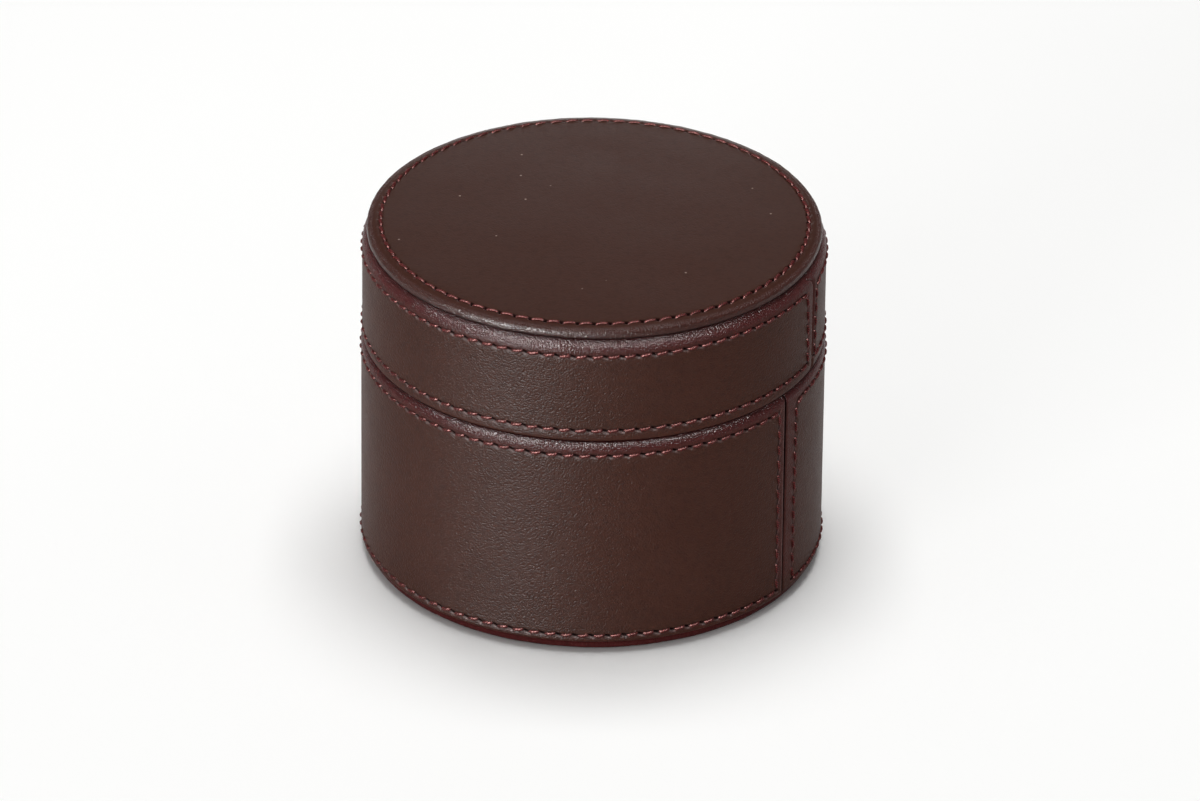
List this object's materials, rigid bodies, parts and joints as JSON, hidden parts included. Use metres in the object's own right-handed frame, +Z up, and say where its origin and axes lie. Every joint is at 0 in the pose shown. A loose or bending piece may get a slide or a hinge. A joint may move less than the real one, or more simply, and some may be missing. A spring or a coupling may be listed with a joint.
{
  "type": "round jewelry box",
  "caption": "Round leather-wrapped jewelry box with a stitched lift-off lid, an inner collar and a lift-out tray with ring rolls and compartments.",
  "frame": {"origin": "centre of the underside of the bottom panel, on the box's axis", "axes": "+Z up along the box's axis, -Y the front of the box, +X to the right seen from the front"},
  "size_m": [0.1, 0.1, 0.0788],
  "materials": {
    "brown_leather": "satin",
    "suede_lining": "matte",
    "suede_rolls": "matte",
    "fibreboard": "matte",
    "greyboard": "matte"
  },
  "bodies": {
    "base": {"bottom_panel_leather": "brown_leather", "bottom_panel_board": "greyboard", "base_hoop": "fibreboard", "base_band_leather": "brown_leather", "base_floor_board": "fibreboard", "base_floor_pad": "suede_lining", "collar": "greyboard", "collar_lining": "suede_lining", "compartment_lining": "suede_lining"},
    "lid": {"lid_hoop": "fibreboard", "lid_cover_board": "fibreboard", "lid_band_leather": "brown_leather", "lid_top_leather": "brown_leather", "lid_top_pad": "greyboard", "lid_wall_lining": "suede_lining", "lid_ceiling_pad": "suede_lining"},
    "tray": {"tray_floor_board": "greyboard", "tray_wall": "greyboard", "tray_wall_cover": "suede_lining", "tray_floor_pad": "suede_lining", "tray_divider": "suede_lining", "tray_cross_divider": "suede_lining", "ring_roll_1": "suede_rolls", "ring_roll_2": "suede_rolls", "ring_roll_3": "suede_rolls", "ring_roll_4": "suede_rolls", "pull_tab_left": "brown_leather", "pull_tab_right": "brown_leather"}
  },
  "joints": [
    {"name": "lid_lift", "type": "slide", "parent": "base", "child": "lid", "axis": [0, 0, 1], "range_m": [0, 0.1]},
    {"name": "tray_lift", "type": "slide", "parent": "base", "child": "tray", "axis": [0, 0, 1], "range_m": [0, 0.045]}
  ],
  "couplings": [
    {"joint": "tray_lift", "follows": "lid_lift", "ratio": 0.45}
  ]
}
